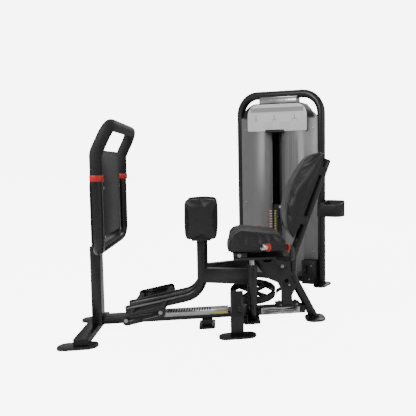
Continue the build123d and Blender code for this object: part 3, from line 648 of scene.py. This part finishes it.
def peg_sleeves():
    """Ribbed rubber sleeves over the foot pegs."""
    rise = (ARM_BEND[1] - ARM_TIP[1]) / (ARM_BEND[0] - ARM_TIP[0])
    for side, name in ((-1, "near"), (1, "far")):
        sleeve = bmesh.new()
        for x in PEG_POSITIONS:
            z = ARM_TIP[1] + rise * (x - ARM_TIP[0])
            profile = [(0.0, 0.0143)]
            for rib in range(22):
                along = 0.004 + rib * 0.007
                profile += [(along, 0.0172), (along + 0.0035, 0.0178), (along + 0.0055, 0.0165)]
            profile += [(0.160, 0.0165), (0.162, 0.0143)]
            add_turned(sleeve, profile, at(x, side * 100, z), (0, side, 0), steps=24)
        piece(name + "_peg_sleeves", sleeve, name + "_arm", "rubber_black", smooth=True)


def shaft_sleeves():
    """Black spacer sleeves round the pivot shafts, from the base bracket up to the hub."""
    sleeves = bmesh.new()
    for side in (-1, 1):
        add_turned(sleeves, [(0.0, 0.0142), (0.0, 0.019), (0.085, 0.019), (0.086, 0.018),
                             (0.086, 0.0142)], at(PIVOT_X, side * PIVOT_Y / MM, 62), (0, 0, 1))
    piece("shaft_sleeves", sleeves, "frame", "frame_black", smooth=True)


def knobs():
    """The outrigger's lobed pull knob and the stack's rounded selector pin."""
    low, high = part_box("stop_knob")
    centre = middle(low, high)
    start = Vector((centre.x, low[1] + 0.030, centre.z))
    knob = bmesh.new()
    add_turned(knob, [(0.0, 0.0), (0.0, 0.011), (0.006, 0.0125), (0.012, 0.016), (0.024, 0.0178),
                      (0.028, 0.016), (0.03, 0.009), (0.03, 0.0)], start, (0, -1, 0), steps=48)
    for vert in knob.verts:
        reach = Vector((vert.co.x - start.x, 0, vert.co.z - start.z))
        if reach.length > 0.013:
            angle = math.atan2(reach.z, reach.x)
            vert.co -= reach * 0.07 * (1 + math.cos(6 * angle)) / 2
    add_turned(knob, [(0.0, 0.0), (0.0, 0.006), (high[1] - start.y, 0.006),
                      (high[1] - start.y, 0.0)], start, (0, 1, 0), steps=24)
    head = piece("stop_knob_head", knob, "stop", "shell_black", smooth=True)
    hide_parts("stop_knob")

    pin = bmesh.new()
    height = middle(*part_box("selector_pin")).z
    face = tower @ Vector((STACK_S, PLATE_FRONT - 0.001, height))
    out = tower.to_3x3() @ Vector((0, -1, 0))
    add_turned(pin, [(0.0, 0.0), (0.0, 0.009), (0.004, 0.0105), (0.012, 0.011), (0.02, 0.0128),
                     (0.0245, 0.0105), (0.0258, 0.005), (0.026, 0.0)], face, out, steps=36)
    add_turned(pin, [(0.0, 0.0), (0.0, 0.0039), (0.056, 0.0039), (0.056, 0.0)], face, -out,
               steps=20)
    pull = piece("selector_knob", pin, "pin", "pin_black", smooth=True)
    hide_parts("selector_pin")


def weld_beads():
    """Round weld beads where the spine tube and the arch meet their foot plates."""
    beads = bmesh.new()
    radius = 0.026
    add_turned(beads, [(0.0, radius), (0.003, radius + 0.003), (0.005, radius)],
               at(1188, 0, 13), (0, 0, 1))
    for s in (-ARCH_HALF_WIDTH, ARCH_HALF_WIDTH):
        foot = tower @ Vector((s * MM, 0, 12.2 * MM))
        add_turned(beads, [(0.0, 0.0302), (0.0, 0.035), (0.003, 0.0335), (0.005, 0.0302)], foot,
                   (0, 0, 1))
    piece("weld_beads", beads, "frame", "frame_black", smooth=True)


# ---------------------------------------------------------------- setting
def studio():
    """Pale floor, soft light and the camera."""
    floor = bmesh.new()
    bmesh.ops.create_grid(floor, x_segments=1, y_segments=1, size=30.0)
    mesh = bpy.data.meshes.new("floor")
    floor.to_mesh(mesh)
    floor.free()
    ground = bpy.data.objects.new("floor", mesh)
    ground.location.z = -0.0006
    mesh.materials.append(floor_finish)
    bpy.context.scene.collection.objects.link(ground)

    # seen by the camera, the floor glows like the backdrop, and keeps a faint shadow
    tree = floor_finish.node_tree
    glow = tree.nodes.new("ShaderNodeEmission")
    glow.inputs["Strength"].default_value = BACKDROP_GLOW
    lit = tree.nodes.new("ShaderNodeAddShader")
    either = tree.nodes.new("ShaderNodeMixShader")
    rays = tree.nodes.new("ShaderNodeLightPath")
    shader = tree.nodes["Principled BSDF"]
    tree.links.new(shader.outputs[0], lit.inputs[0])
    tree.links.new(glow.outputs[0], lit.inputs[1])
    tree.links.new(rays.outputs["Is Camera Ray"], either.inputs[0])
    tree.links.new(shader.outputs[0], either.inputs[1])
    tree.links.new(lit.outputs[0], either.inputs[2])
    tree.links.new(either.outputs[0], tree.nodes["Material Output"].inputs["Surface"])

    world = bpy.data.worlds.new("studio")
    world.use_nodes = True
    tree = world.node_tree
    lighting = tree.nodes["Background"]
    lighting.inputs["Color"].default_value = (1, 1, 1, 1)
    lighting.inputs["Strength"].default_value = 0.4
    seen = tree.nodes.new("ShaderNodeBackground")
    seen.inputs["Color"].default_value = (1, 1, 1, 1)
    seen.inputs["Strength"].default_value = BACKDROP_GLOW
    either = tree.nodes.new("ShaderNodeMixShader")
    rays = tree.nodes.new("ShaderNodeLightPath")
    tree.links.new(rays.outputs["Is Camera Ray"], either.inputs[0])
    tree.links.new(lighting.outputs[0], either.inputs[1])
    tree.links.new(seen.outputs[0], either.inputs[2])
    tree.links.new(either.outputs[0], tree.nodes["World Output"].inputs["Surface"])
    bpy.context.scene.world = world
    aim = at(650, 300, 600)
    for name, place, size, power in (("key", (-2.6, -2.6, 3.2), 2.4, 120.0),
                                     ("fill", (3.4, -2.4, 2.2), 2.6, 34.0),
                                     ("rim", (1.5, 4.5, 3.6), 2.6, 95.0)):
        light = bpy.data.lights.new(name, "AREA")
        light.size = size
        light.energy = power
        lamp = bpy.data.objects.new(name, light)
        lamp.location = place
        lamp.rotation_euler = (aim - Vector(place)).to_track_quat("-Z", "Y").to_euler()
        bpy.context.scene.collection.objects.link(lamp)

    lens = bpy.data.cameras.new("camera")
    lens.sensor_width = 36.0
    lens.lens = 45.94
    lens.shift_x = -0.317
    camera = bpy.data.objects.new("camera", lens)
    camera.location = at(679.5, -3045.7, 903.9)
    camera.rotation_euler = (math.pi / 2 - 0.0796, 0.0, -0.2144)
    bpy.context.scene.collection.objects.link(camera)
    bpy.context.scene.camera = camera


studio()
dress_nodes()
upholster()
tower_marks()
shroud_beads()
base_marks()
bolts()
end_caps()
peg_sleeves()
shaft_sleeves()
knobs()
weld_beads()
